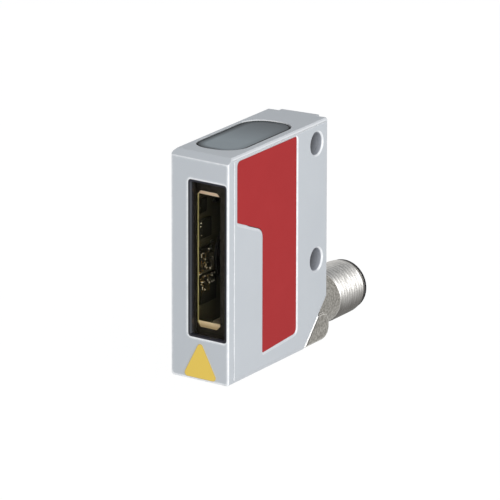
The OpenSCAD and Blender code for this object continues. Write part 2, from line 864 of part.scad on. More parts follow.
module laser_barrel() {
    color(brass)
    difference() {
        translate([x_beam, y_beam, barrel_bottom])
            cylinder(h = barrel_top - barrel_bottom, d = laser_d);
        translate([x_beam, y_beam, barrel_bottom - past])
            cylinder(h = barrel_top - barrel_bottom + 2 * past, d = beam_d);
        translate([x_beam, y_beam, barrel_bottom - past])
            cylinder(h = past + collimator_seat + collimator_long, d = laser_d - 2 * barrel_wall);
        translate([x_beam, y_beam, barrel_top - diode_long])
            cylinder(h = diode_long + past, d = diode_d + 2 * seat_clearance);
    }
}

module laser_diode() {
    color(steel) {
        translate([x_beam, y_beam, barrel_top - diode_long])
            cylinder(h = diode_long - diode_sink, d = diode_d);
        // Three contact pins
        for (a = [0, 120, 240])
            translate([x_beam, y_beam, barrel_top - 2 * diode_sink] + lead_circle * [cos(a), sin(a), 0])
                cylinder(h = 2 * diode_sink + lead_out, d = lead_d);
    }
}

module collimator_lens() {
    color([0.7, 0.75, 0.85])
    translate([x_beam, y_beam, barrel_bottom + collimator_seat])
        cylinder(h = collimator_long, d = laser_d - 2 * barrel_wall - 2 * seat_clearance);
}

module collecting_mirror() {
    color([0.8, 0.82, 0.85])
    difference() {
        sloping(x_beam, y_beam, z_receiver)
            translate([-mirror_wide / 2, -mirror_long / 2, -mirror_thick])
                cube([mirror_wide, mirror_long, mirror_thick]);
        translate([x_beam, y_beam, z_receiver - mirror_long / 2])
            cylinder(h = mirror_long, d = beam_d);
    }
}

module receiver_lens() {
    sphere_r = (receiver_lens_d * receiver_lens_d / 4 + lens_bulge * lens_bulge) / (2 * lens_bulge);
    color([0.75, 0.8, 0.9])
    intersection() {
        rod_y(lens_wall_y - lens_bulge, lens_wall_y + lens_wall - 0.2, x_beam, z_receiver, receiver_lens_d);
        translate([x_beam, lens_wall_y - lens_bulge + sphere_r, z_receiver])
            sphere(sphere_r);
    }
}

module receiver_board() {
    color(green)
    box(carrier_x0 + 0.2, carrier_x1 - carrier_wall - 0.1, carrier_rear - rear_wall - sensor_board,
        carrier_rear - rear_wall, z_receiver - sensor_board_down, z_receiver + sensor_board_up);
}

module photodiode() {
    y1 = carrier_rear - rear_wall - sensor_board;
    color(black)
    box(x_beam - sensor_size / 2, x_beam + sensor_size / 2, y1 - sensor_thick, y1,
        z_receiver - sensor_size / 2, z_receiver + sensor_size / 2);
}

module motor_base() {
    color(steel)
    difference() {
        union() {
            rod_x(x_board_face, x_board_face + motor_plate, y_wheel, wheel_height, motor_plate_d);
            rod_x(x_board_face, tube_x1, y_wheel, wheel_height, tube_d);
        }
        rod_x(x_board_face + 0.2, tube_x1 + past, y_wheel, wheel_height, bush_d);
    }
}

module motor_coils() {
    inner = tube_d / 2 + 0.05;
    color(brass)
    translate([x_board_face + motor_plate, y_wheel, wheel_height])
        rotate([0, 90, 0])
            difference() {
                union() {
                    cylinder(h = 0.5, r = inner + 0.6);
                    for (k = [0:coil_count - 1])
                        rotate(k * 360 / coil_count)
                            translate([inner, -0.8, 0])
                                cube([coil_out - inner, 1.6, tube_x1 - x_board_face - motor_plate - 0.4]);
                }
                translate([0, 0, -past])
                    cylinder(h = tube_x1 - x_board_face + past, r = inner);
            }
}

module shaft_bearing() {
    color(brass)
    difference() {
        rod_x(x_board_face + 0.2, tube_x1, y_wheel, wheel_height, bush_d);
        rod_x(x_board_face + 0.1, tube_x1 + past, y_wheel, wheel_height, shaft_d + 2 * shaft_clearance);
    }
}

module motor_shaft() {
    color(steel)
    rod_x(x_board_face + 0.35, wheel_x1 + 0.5, y_wheel, wheel_height, shaft_d);
}

module rotor_cup() {
    color(steel)
    difference() {
        rod_x(cup_x0, cup_x1, y_wheel, wheel_height, rotor_d);
        rod_x(cup_x0 - past, cup_x1 - cup_wall, y_wheel, wheel_height, rotor_d - 2 * cup_wall);
        rod_x(cup_x0, cup_x1 + past, y_wheel, wheel_height, shaft_d);
    }
}

module rotor_magnet() {
    color(black)
    difference() {
        rod_x(cup_x0 + 0.1, cup_x1 - cup_wall, y_wheel, wheel_height, rotor_d - 2 * cup_wall);
        rod_x(cup_x0, cup_x1, y_wheel, wheel_height, rotor_d - 2 * cup_wall - 2 * magnet_wall);
    }
}

module mirror_wheel() {
    color([0.85, 0.86, 0.88])
    difference() {
        translate([wheel_x0, y_wheel, wheel_height])
            rotate([0, 90, 0])
                rotate(45 + 180 / wheel_facets)
                    cylinder(h = wheel_thickness, r = wheel_width / 2 / cos(180 / wheel_facets),
                        $fn = wheel_facets);
        rod_x(wheel_x0 - past, wheel_x1 + past, y_wheel, wheel_height, shaft_d);
        rod_x(wheel_x1 - 0.8, wheel_x1 + past, y_wheel, wheel_height, wheel_width * 0.62);
    }
}

// Outline of the swivel foot in (y, z), with each of its sides set in
function foot_outline(inset) =
    let (
        line = foot_line + inset * sqrt(2),
        y1 = y_rear + foot_reach - inset,
        z0 = foot_floor + inset,
        z1 = foot_shoulder - inset
    )
    rounded([[line + z0, z0], [y1, z0], [y1, z1], [line + z1, z1]],
        [0, foot_round - inset, foot_round - inset, 0]);

module swivel_foot() {
    color(nickel)
    difference() {
        union() {
            // Foot with a rounded end and bevelled sides, level with the base of the housing
            side_extrude(foot_bevel - foot_half, foot_half - foot_bevel)
                polygon(foot_outline(0));
            side_loft(foot_outline(0), foot_half - foot_bevel, foot_outline(foot_bevel), foot_half);
            side_loft(foot_outline(foot_bevel), -foot_half, foot_outline(0), foot_bevel - foot_half);
            // Neck that carries the threaded sleeve
            intersection() {
                rod_y(foot_line, thread_y0, 0, connector_height, neck_d);
                sloping(0, y_cut, z_cut)
                    translate([-housing_width, -housing_depth, foot_gap])
                        cube([2 * housing_width, 2 * housing_depth, housing_depth]);
            }
            // Spigot with grooves for the seal and the retaining ring
            sloping(0, y_cut, z_cut)
                translate([0, 0, -spigot_end])
                    difference() {
                        cylinder(h = spigot_end + foot_gap + joint, d = spigot_d);
                        groove(spigot_end - seal_place - seal_cord / 2 - 0.1, seal_cord + 0.2,
                            seal_groove_d, spigot_d);
                        groove(spigot_end - ring_start - ring_thickness - groove_clearance,
                            ring_thickness + 2 * groove_clearance, ring_groove_d, spigot_d);
                    }
        }
        // Way for the wires, and the seats of the sleeve and the insert
        sloping(0, y_cut, z_cut)
            translate([0, 0, -spigot_end - past])
                cylinder(h = spigot_end + 3 * past, d = wire_bore);
        rod_y(y_cut - past, thread_y0, 0, connector_height, wire_bore);
        rod_y(thread_y0 - sleeve_in, thread_y0 + past, 0, connector_height, sleeve_d + 0.02);
    }
}

// Ring-shaped cut round a rod
module groove(z, width, inner_d, outer_d) {
    translate([0, 0, z])
        difference() {
            cylinder(h = width, d = outer_d + 1);
            translate([0, 0, -1])
                cylinder(h = width + 2, d = inner_d);
        }
}

module swivel_seal() {
    color(black)
    sloping(0, y_cut, z_cut)
        translate([0, 0, -seal_place])
            rotate_extrude()
                translate([spigot_d / 2 - seal_cord / 2 + 0.03, 0])
                    circle(d = seal_cord - 0.02, $fn = 32);
}

module retaining_ring() {
    color(steel)
    sloping(0, y_cut, z_cut)
        translate([0, 0, -ring_start - ring_thickness])
            difference() {
                cylinder(h = ring_thickness, d = ring_d);
                translate([0, 0, -1])
                    cylinder(h = ring_thickness + 2, d = ring_groove_d + 0.1);
                translate([-1, 0, -1])
                    cube([2, ring_d, ring_thickness + 2]);
            }
}

module thread_sleeve() {
    bevel = 0.3;
    color([0.8, 0.79, 0.77])
    difference() {
        union() {
            rod_y(thread_y0 - sleeve_in + 0.1, thread_y0 + eps, 0, connector_height, sleeve_d);
            rod_y(thread_y0, thread_y1, 0, connector_height, thread_d);
            rod_y(thread_y1 - eps, nose_y1 - bevel, 0, connector_height, nose_d);
            translate([0, nose_y1 - bevel - eps, connector_height])
                rotate([-90, 0, 0])
                    cylinder(h = bevel + eps, d1 = nose_d, d2 = nose_d - 2 * bevel);
        }
        rod_y(thread_y0 - sleeve_in, nose_y1 + past, 0, connector_height, cavity_d);
    }
}

module contact_insert() {
    color(black)
    difference() {
        union() {
            rod_y(insert_y1 - insert_long, insert_y1, 0, connector_height, cavity_d - 0.02);
            // Coding key along the wall of the cavity
            intersection() {
                rod_y(insert_y1 - eps, nose_y1 - 1.5, 0, connector_height, cavity_d - 0.1);
                box(-0.5, 0.5, insert_y1 - eps, nose_y1 - 1.5, connector_height + cavity_d / 2 - 0.75,
                    connector_height + cavity_d / 2);
            }
        }
        for (p = pin_places)
            rod_y(insert_y1 - insert_long - past, insert_y1 + past, p[0], connector_height + p[1], pin_d);
    }
}

pin_places = [[0, 0], each [for (a = [45:90:315]) pin_circle * [cos(a), sin(a)]]];

module contact_pins() {
    color(gold)
    for (p = pin_places) {
        rod_y(insert_y1 - insert_long - pin_tail, nose_y1 - pin_sink, p[0], connector_height + p[1], pin_d);
        translate([p[0], nose_y1 - pin_sink - eps, connector_height + p[1]])
            rotate([-90, 0, 0])
                cylinder(h = 0.4, d1 = pin_d, d2 = pin_d * 0.4);
    }
}

housing();
side_cover();
cover_gasket();
side_label();
front_marker();
window_frame();
window_pane();
indicator_lens();
indicator_board();
indicator_leds();
main_board();
board_chips();
board_screws();
wire_socket();
optics_carrier();
laser_barrel();
laser_diode();
collimator_lens();
collecting_mirror();
receiver_lens();
receiver_board();
photodiode();
motor_base();
motor_coils();
shaft_bearing();
motor_shaft();
rotor_cup();
rotor_magnet();
mirror_wheel();
swivel_foot();
swivel_seal();
retaining_ring();
thread_sleeve();
contact_insert();
contact_pins();
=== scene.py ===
import math
import random

import bmesh
import bpy
from mathutils import Matrix, Quaternion, Vector


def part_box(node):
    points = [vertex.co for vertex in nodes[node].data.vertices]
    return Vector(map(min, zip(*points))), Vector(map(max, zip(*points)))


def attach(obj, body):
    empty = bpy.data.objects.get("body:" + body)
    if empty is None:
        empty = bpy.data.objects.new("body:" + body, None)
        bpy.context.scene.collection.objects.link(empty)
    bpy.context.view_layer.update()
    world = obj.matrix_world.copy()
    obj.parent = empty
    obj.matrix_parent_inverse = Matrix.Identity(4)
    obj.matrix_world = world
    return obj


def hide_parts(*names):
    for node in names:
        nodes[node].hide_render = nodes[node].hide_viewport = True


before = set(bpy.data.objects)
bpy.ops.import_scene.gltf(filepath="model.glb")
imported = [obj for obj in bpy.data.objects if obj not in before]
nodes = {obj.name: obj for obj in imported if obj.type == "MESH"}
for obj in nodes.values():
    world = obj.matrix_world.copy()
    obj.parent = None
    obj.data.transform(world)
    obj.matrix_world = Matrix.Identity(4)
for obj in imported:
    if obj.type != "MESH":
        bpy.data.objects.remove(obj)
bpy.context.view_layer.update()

MM = 0.001

# Places on the sensor

ACROSS, REARWARD, UP = (1, 0, 0), (0, 1, 0), (0, 0, 1)
COVER_SIDE = 7.5
# Centres and radius of the two mounting holes, which run across
HOLES = [(15.35, 18.5), (15.35, 43.5)]
HOLE_RADIUS = 2.4
# The front face is turned about its upright edge on the cover side
FRONT_SLANT = math.radians(7)
FRONT_WAY = Vector((-math.sin(FRONT_SLANT), -math.cos(FRONT_SLANT), 0))
FRONT_EDGE = (COVER_SIDE, -20.15, 0)
# The plug turns about this line, and its foot seats on the plane across it
SWIVEL_POINT = (0, 15.25, 4.9)
SWIVEL_WAY = Vector((0, 1, -1)).normalized()
# Corner radius of the indicator lens
LENS_ROUND = 4.9
# The room within the housing: its depth behind the front, its width and its height
INSIDE_DEPTH, INSIDE_ACROSS, INSIDE_UP = (0.9, 27), (-6.8, 6.8), (1.2, 46.6)
# The seam round the side cover, whose walls carry painted light: its depth behind the front, its place
# across, and its height from above the slanting corner to just below the top
SEAM_DEPTH, SEAM_ACROSS = (2, 50), (5, COVER_SIDE - 0.04)
SEAM_UP = (20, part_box("housing")[1].z / MM - 0.3)


# Shader trees


class Tree:
    """A material with one Principled shader and short ways to add nodes to it."""

    def __init__(self, name):
        self.material = bpy.data.materials.new(name)
        self.material.use_nodes = True
        self.nodes = self.material.node_tree.nodes
        self.links = self.material.node_tree.links
        self.shader = self.nodes["Principled BSDF"]
        self.output = self.nodes["Material Output"]
        self.place = self.nodes.new("ShaderNodeTexCoord").outputs["Object"]

    def plug(self, value, socket):
        """Sets a socket to a number or a colour, or links it."""
        if isinstance(value, bpy.types.NodeSocket):
            self.links.new(value, socket)
        elif isinstance(value, tuple) and len(value) == 3 and socket.type == "RGBA":
            socket.default_value = (*value, 1)
        else:
            socket.default_value = value

    def add(self, kind, inputs=None, **settings):
        """Adds a node, with its settings and its inputs, by name or by number."""
        node = self.nodes.new(kind)
        for key, value in settings.items():
            setattr(node, key, value)
        for key, value in (inputs or {}).items():
            self.plug(value, node.inputs[key])
        return node

    def set(self, **values):
        """Sets inputs of the shader, with underscores for the spaces in their names."""
        for key, value in values.items():
            self.plug(value, self.shader.inputs[key.replace("_", " ")])

    def grain(self, size, detail=3, rough=0.55, stretch=(1, 1, 1)):
        """Noise with features of a given size in millimetres, from 0 to 1."""
        spot = self.add("ShaderNodeMapping", {"Vector": self.place, "Scale": stretch})
        settings = {"Vector": spot.outputs[0], "Scale": 1 / (size * MM), "Detail": detail, "Roughness": rough}
        return self.add("ShaderNodeTexNoise", settings).outputs["Fac"]

    def span(self, value, low, high, to_low=0, to_high=1):
        """Maps the range from low to high to another range, and clamps it."""
        settings = {"Value": value, "From Min": low, "From Max": high, "To Min": to_low, "To Max": to_high}
        return self.add("ShaderNodeMapRange", settings).outputs[0]

    def maths(self, operation, *values):
        """The result of a sum on one or two numbers."""
        return self.add("ShaderNodeMath", dict(enumerate(values)), operation=operation).outputs[0]

    def blend(self, share, first, second):
        """A colour between two colours, which are inputs 6 and 7 of the node and its output 2."""
        node = self.add("ShaderNodeMix", data_type="RGBA")
        self.plug(share, node.inputs[0])
        self.plug(first, node.inputs[6])
        self.plug(second, node.inputs[7])
        return node.outputs[2]

    def blend_value(self, share, first, second):
        """A number between two numbers, which are inputs 2 and 3 of the node."""
        return self.add("ShaderNodeMix", {0: share, 2: first, 3: second}).outputs[0]

    def rounded(self, radius):
        """The surface normal with its sharp edges rounded by a radius in millimetres."""
        return self.add("ShaderNodeBevel", {"Radius": radius * MM}, samples=8).outputs[0]

    def edges(self, radius, least=0.99, most=0.86):
        """1 along sharp edges and 0 elsewhere."""
        plain = self.add("ShaderNodeNewGeometry").outputs["Normal"]
        both = {0: self.rounded(radius), 1: plain}
        match = self.add("ShaderNodeVectorMath", both, operation="DOT_PRODUCT").outputs["Value"]
        return self.span(match, least, most)

    def bump(self, height, depth, normal=None):
        """A normal with relief of a given depth in millimetres."""
        settings = {"Height": height, "Distance": depth * MM, "Strength": 1.0}
        if normal is not None:
            settings["Normal"] = normal
        return self.add("ShaderNodeBump", settings).outputs[0]

    def along(self, vector, way):
        """The part of a vector that points one way."""
        both = {0: vector, 1: tuple(way)}
        return self.add("ShaderNodeVectorMath", both, operation="DOT_PRODUCT").outputs["Value"]

    def facing(self, way, least=0.93, most=0.97):
        """1 on faces turned one way, and 0 on the others."""
        normal = self.add("ShaderNodeNewGeometry").outputs["True Normal"]
        return self.span(self.along(normal, way), least, most)

    def place_along(self, way, start=(0, 0, 0)):
        """Distance in millimetres from a point, one way, to the surface point."""
        shift = self.add("ShaderNodeVectorMath", {0: self.place, 1: tuple(Vector(start) * MM)},
                         operation="SUBTRACT")
        return self.maths("DIVIDE", self.along(shift.outputs[0], way), MM)

    def between(self, value, low, high, soft=0.1):
        """1 where a value lies between two bounds and 0 elsewhere, with a soft rise outside each."""
        rise = self.span(value, low - soft, low)
        return self.maths("MULTIPLY", rise, self.span(value, high + soft, high))

    def front_depth(self):
        """Depth in millimetres behind the slanting front."""
        return self.place_along(-FRONT_WAY, FRONT_EDGE)

    def within(self, total, *ranges):
        """Keeps a share where each value lies between its two bounds."""
        for value, bounds in ranges:
            total = self.maths("MULTIPLY", total, self.between(value, *bounds))
        return total

    def inside(self):
        """1 within the housing, behind its front wall, and 0 on its outside."""
        total = self.between(self.front_depth(), *INSIDE_DEPTH)
        return self.within(total, (self.place_along(ACROSS), INSIDE_ACROSS),
                           (self.place_along(UP), INSIDE_UP))

    def seam_light(self):
        """Painted light mask: 1 on the walls of the seam above the side cover, and 0 elsewhere, which lifts
        the shade in the gap.
        """
        total = self.maths("MAXIMUM", self.facing(UP, 0.5, 0.9), self.facing((0, 0, -1), 0.5, 0.9))
        return self.within(total, (self.front_depth(), SEAM_DEPTH), (self.place_along(UP), SEAM_UP),
                           (self.place_along(ACROSS), SEAM_ACROSS))

    def fillet_highlights(self):
        """Painted highlight mask: up to 1 on the bevels and roundings beside the flat sides, mostly in front,
        and 0 elsewhere.
        """
        normal = self.add("ShaderNodeNewGeometry").outputs["True Normal"]
        sideways = self.maths("ABSOLUTE", self.along(normal, ACROSS))
        forward = self.span(self.along(normal, (0, -1, 0)), 0.15, 0.3, 0.3, 0.85)
        return self.maths("MULTIPLY", self.between(sideways, 0.3, 0.96, 0.02), forward)

    def in_holes(self):
        """1 on the walls of the two mounting holes and 0 elsewhere."""
        total = 0
        for y, z in HOLES:
            centre = (0, y * MM, z * MM)
            spot = self.add("ShaderNodeVectorMath", {0: self.place, 1: centre}, operation="SUBTRACT")
            flat = self.add("ShaderNodeVectorMath", {0: spot.outputs[0], 1: (0, 1, 1)}, operation="MULTIPLY")
            away = self.add("ShaderNodeVectorMath", {0: flat.outputs[0]}, operation="LENGTH").outputs["Value"]
            wall = self.span(away, (HOLE_RADIUS + 0.1) * MM, HOLE_RADIUS * MM)
            total = self.maths("ADD", total, wall)
        return total


# Materials


def coat_metal():
    """Pale satin coat on die-cast zinc, with painted highlights along its edges, painted light on its seam
    walls, painted shade in its mounting holes and painted shade within.
    """
    tree = Tree("coat_metal")
    fine = tree.grain(0.22, 4)
    cloud = tree.grain(9, 2)
    # Painted highlights: lighter colour on the front edges, on all edges (less where they face up) and on the
    # fillets, broken up by a grain
    front = tree.maths("MULTIPLY", tree.edges(1.1, 0.985, 0.93), tree.facing(FRONT_WAY, 0.5, 0.9))
    level = tree.span(tree.facing(UP, 0.5, 0.9), 0, 1, 0.28, 0.15)
    soft_edge_highlight = tree.maths("MULTIPLY", tree.edges(0.5, 0.99, 0.9), level)
    edge = tree.maths("MAXIMUM", front, tree.maths("MAXIMUM", soft_edge_highlight, tree.fillet_highlights()))
    wear_and_highlight = tree.maths("MULTIPLY", edge, tree.span(tree.grain(1.3), 0.3, 0.7, 0.6, 1))
    base = tree.blend(cloud, (0.5, 0.527, 0.556), (0.53, 0.558, 0.585))
    # Painted light on the seam walls, which hides the shade in the gap
    painted_light_base = tree.blend(tree.maths("MAXIMUM", wear_and_highlight, tree.seam_light()), base, (0.93, 0.94, 0.95))
    # Painted shade in the mounting holes, darker deeper in
    hole_shade_share = tree.span(tree.place_along((-1, 0, 0), (COVER_SIDE, 0, 0)), 0.4, 2.6)
    bore = tree.blend(hole_shade_share, (0.4, 0.42, 0.46), (0.15, 0.155, 0.17))
    outer = tree.blend(tree.in_holes(), painted_light_base, bore)
    # Painted shade: near black within the housing, behind the front wall
    tree.set(Base_Color=tree.blend(tree.inside(), outer, (0.012, 0.012, 0.011)))
    tree.set(Metallic=0.06, Specular_IOR_Level=0.3, Roughness=tree.span(fine, 0.3, 0.7, 0.56, 0.66))
    tree.set(Normal=tree.bump(fine, 0.006, tree.rounded(0.22)))
    return tree.material


def red_film():
    """Plain red label film with a fine matt grain."""
    tree = Tree("red_film")
    fine = tree.grain(0.12, 3)
    cloud = tree.grain(6, 2)
    tree.set(Base_Color=tree.blend(cloud, (0.345, 0.017, 0.019), (0.375, 0.021, 0.023)))
    tree.set(Specular_IOR_Level=0.09, Roughness=tree.span(fine, 0.3, 0.7, 0.4, 0.5))
    tree.set(Normal=tree.bump(fine, 0.002))
    return tree.material


def yellow_film():
    """Plain yellow film, a little darker along its edge."""
    tree = Tree("yellow_film")
    fine = tree.grain(0.12, 3)
    tree.set(Base_Color=tree.blend(tree.edges(0.25), (0.78, 0.55, 0.085), (0.6, 0.4, 0.07)))
    tree.set(Roughness=tree.span(fine, 0.3, 0.7, 0.38, 0.5), Normal=tree.bump(fine, 0.002))
    return tree.material


def moulded(name, low, high, roughness, size=0.12, shine=0.5):
    """Moulded plastic or rubber with a fine grain, between two shades."""
    tree = Tree(name)
    fine = tree.grain(size, 3)
    tree.set(Base_Color=tree.blend(tree.grain(3, 2), low, high), Specular_IOR_Level=shine)
    tree.set(Roughness=tree.span(fine, 0.3, 0.7, roughness - 0.05, roughness + 0.07))
    tree.set(Normal=tree.bump(fine, 0.003, tree.rounded(0.08)))
    return tree.material


def metal(name, low, high, roughness, size, depth, edge):
    """Bare or plated metal with a fine grain, brighter along its edges."""
    tree = Tree(name)
    fine = tree.grain(size, 4, 0.6)
    wear_and_highlight = tree.edges(edge)
    shade = tree.blend(tree.span(tree.grain(size * 6, 3, 0.6), 0.3, 0.7), low, high)
    bright = tuple(min(1, c * 1.25) for c in high)
    tree.set(Base_Color=tree.blend(wear_and_highlight, shade, bright), Metallic=1)
    tree.set(Roughness=tree.span(fine, 0.25, 0.75, roughness * 0.8, roughness * 1.25))
    tree.set(Normal=tree.bump(fine, depth, tree.rounded(edge)))
    return tree.material


def clear(name, tint, roughness, index=1.45):
    """Glass that lets the light of the lamps through to what lies behind it."""
    tree = Tree(name)
    smear = tree.grain(2.5, 3)
    tree.set(Base_Color=tint, Transmission_Weight=1.0, IOR=index)
    tree.set(Roughness=tree.span(smear, 0.3, 0.8, roughness, roughness * 2.5))
    shadow = tree.add("ShaderNodeLightPath").outputs["Is Shadow Ray"]
    through = tree.add("ShaderNodeBsdfTransparent", {"Color": tint})
    mix = tree.add("ShaderNodeMixShader", {0: shadow, 1: tree.shader.outputs[0], 2: through.outputs[0]})
    tree.links.new(mix.outputs[0], tree.output.inputs["Surface"])
    return tree.material


def smoked_lens():
    """Smooth smoke-grey plastic, with painted shade towards the rear and a dark band of painted shade within
    its edge, broader on the closed side.
    """
    tree = Tree("smoked_lens")
    low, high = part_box("indicator_lens")
    middle, half = (low + high) / 2 / MM, (high - low) / 2 / MM
    cloud = tree.grain(5, 2)
    base = tree.blend(cloud, (0.265, 0.305, 0.328), (0.292, 0.333, 0.356))
    # Painted shade towards the rear
    shaded = tree.blend(tree.span(tree.place_along(REARWARD), -5, 9, 0, 0.9), base, (0.13, 0.145, 0.155))
    # Distance to the lens's outline, from how far a point lies past the centres of its round ends
    past = []
    for way, room in ((ACROSS, half.x), (REARWARD, half.y)):
        away = tree.maths("ABSOLUTE", tree.place_along(way, middle))
        past.append(tree.maths("MAXIMUM", 0, tree.maths("SUBTRACT", away, room - LENS_ROUND)))
    reach = tree.maths("SQRT", tree.maths("ADD", *(tree.maths("MULTIPLY", v, v) for v in past)))
    to_edge = tree.maths("SUBTRACT", LENS_ROUND, reach)
    # Painted shade: a dark band within the edge, broader on the closed side
    closed_side = tree.span(tree.place_along(ACROSS, middle), -1, 3.5, 0.85, 0.25)
    broad = tree.maths("MULTIPLY", closed_side, tree.span(to_edge, 2.1, 0.5))
    band = tree.maths("MAXIMUM", tree.span(to_edge, 0.75, 0.45), broad)
    tree.set(Base_Color=tree.blend(band, shaded, (0.006, 0.008, 0.01)), IOR=1.05)
    tree.set(Roughness=tree.span(tree.grain(0.3, 3), 0.3, 0.7, 0.2, 0.27), Normal=tree.rounded(0.2))
    return tree.material


def circuit_board():
    """Dark green lacquer over the faint relief of its tracks."""
    tree = Tree("circuit_board")
    rows = tree.add("ShaderNodeTexWave", {"Vector": tree.place, "Scale": 1 / (1.6 * MM), "Distortion": 2.2,
                                       "Detail": 2.0}, bands_direction="Z").outputs["Fac"]
    track = tree.span(rows, 0.55, 0.7)
    tree.set(Base_Color=tree.blend(track, (0.032, 0.029, 0.014), (0.05, 0.046, 0.02)))
    tree.set(Roughness=0.35, Normal=tree.bump(track, 0.02))
    return tree.material


def coil_wire():
    """Enamelled copper, wound in fine turns."""
    tree = Tree("coil_wire")
    turns = tree.add("ShaderNodeTexWave", {"Vector": tree.place, "Scale": 1 / (0.7 * MM)}).outputs["Fac"]
    tree.set(Base_Color=tree.blend(turns, (0.25, 0.08, 0.03), (0.6, 0.26, 0.1)), Metallic=0.8)
    tree.set(Roughness=0.32, Normal=tree.bump(turns, 0.05))
    return tree.material


def dark_carrier():
    """Black coat, with the walls of the scan aperture left bare and golden; painted light and shade make them
    lighter towards the top and, low down, towards the rear, with a narrow painted highlight on the flank that
    faces across.
    """
    tree = Tree("dark_carrier")
    plate_back = 3.8
    fine = tree.grain(0.25, 3)
    depth = tree.front_depth()
    in_plate = tree.span(depth, plate_back + 0.04, plate_back)
    walls = tree.maths("MULTIPLY", in_plate, tree.maths("SUBTRACT", 1, tree.facing(FRONT_WAY)))
    # Painted light and shade: the lower lip lighter towards the rear, and the walls lighter towards the top
    lower_lip_shade = tree.blend(tree.span(depth, 3.1, 3.7), (0.34, 0.27, 0.18), (0.66, 0.58, 0.46))
    bare = tree.blend(tree.span(tree.place_along(UP), 12, 38), lower_lip_shade, (0.8, 0.67, 0.61))
    # Painted highlight: a narrow olive band on the flank that faces across, the rest of that flank dark
    flank = tree.blend(tree.between(depth, 3.2, 3.6), (0.04, 0.036, 0.02), (0.46, 0.44, 0.22))
    lit_lips = tree.blend(tree.facing(ACROSS, 0.6, 0.8), bare, flank)
    tree.set(Base_Color=tree.blend(walls, (0.008, 0.007, 0.006), lit_lips))
    tree.set(Roughness=tree.span(fine, 0.3, 0.7, 0.5, 0.65), Specular_IOR_Level=0.2)
    tree.set(Normal=tree.bump(fine, 0.01))
    return tree.material


def black_frame():
    """Black plastic frame, with a painted highlight on the sloping inner wall on the closed side."""
    tree = Tree("black_frame")
    fine = tree.grain(0.12, 3)
    # Painted highlight on the sloping inner wall, which faces across near the front
    outward = tree.span(tree.front_depth(), 0.7, 0.6)
    inner_wall_highlight = tree.maths("MULTIPLY", outward, tree.facing(ACROSS, 0.55, 0.75))
    tree.set(Base_Color=tree.blend(inner_wall_highlight, (0.014, 0.014, 0.021), (0.075, 0.08, 0.09)))
    tree.set(Specular_IOR_Level=0.25, Roughness=tree.span(fine, 0.3, 0.7, 0.3, 0.4))
    tree.set(Normal=tree.bump(fine, 0.003, tree.rounded(0.08)))
    return tree.material


def cast_nickel():
    """Rough cast metal with nickel plate, with a painted highlight on a rim at its seat between two lines of
    painted shadow, and painted highlights along its edges.
    """
    tree = Tree("cast_nickel")
    fine = tree.grain(0.16, 4, 0.6)
    shade = tree.blend(tree.span(tree.grain(0.5, 3, 0.6), 0.35, 0.65), (0.2, 0.19, 0.17), (0.42, 0.405, 0.37))
    # The band of painted shadow and the painted highlight of the rim within it, in heights above the seat
    shadow_band, highlight_band = (-0.5, 0.95), (0.2, 0.65)
    above = tree.place_along(SWIVEL_WAY, SWIVEL_POINT)
    shadow_lined = tree.blend(tree.between(above, *shadow_band, 0.05), shade, (0.03, 0.03, 0.03))
    rim = tree.between(above, *highlight_band, 0.05)
    seat = tree.blend(rim, shadow_lined, (0.95, 0.95, 0.94))
    # Painted highlights along the edges
    tree.set(Base_Color=tree.blend(tree.edges(0.35, 0.99, 0.92), seat, (0.85, 0.83, 0.8)), Metallic=1)
    tree.set(Roughness=tree.blend_value(rim, tree.span(fine, 0.25, 0.75, 0.4, 0.58), 0.35))
    tree.set(Normal=tree.bump(fine, 0.05, tree.rounded(0.2)))
    return tree.material


def turned_nickel():
    """Turned and plated metal with fine marks round it, and painted shade on its underside."""
    tree = Tree("turned_nickel")
    round_it = (1, 6, 1)
    fine = tree.grain(0.5, 4, 0.6, round_it)
    patches = tree.span(tree.grain(3, 3, 0.6, round_it), 0.3, 0.7)
    shade = tree.blend(patches, (0.47, 0.46, 0.44), (0.62, 0.61, 0.59))
    # Painted shade: darker towards the bottom
    underside_shade = tree.blend(tree.span(tree.place_along(UP), 3.3, 8.4), (0.3, 0.293, 0.286), (1, 1, 1))
    colour = tree.add("ShaderNodeVectorMath", {0: shade, 1: underside_shade}, operation="MULTIPLY").outputs[0]
    tree.set(Base_Color=colour, Metallic=1, Roughness=tree.span(fine, 0.25, 0.75, 0.33, 0.5))
    tree.set(Normal=tree.bump(fine, 0.004, tree.rounded(0.05)))
    return tree.material


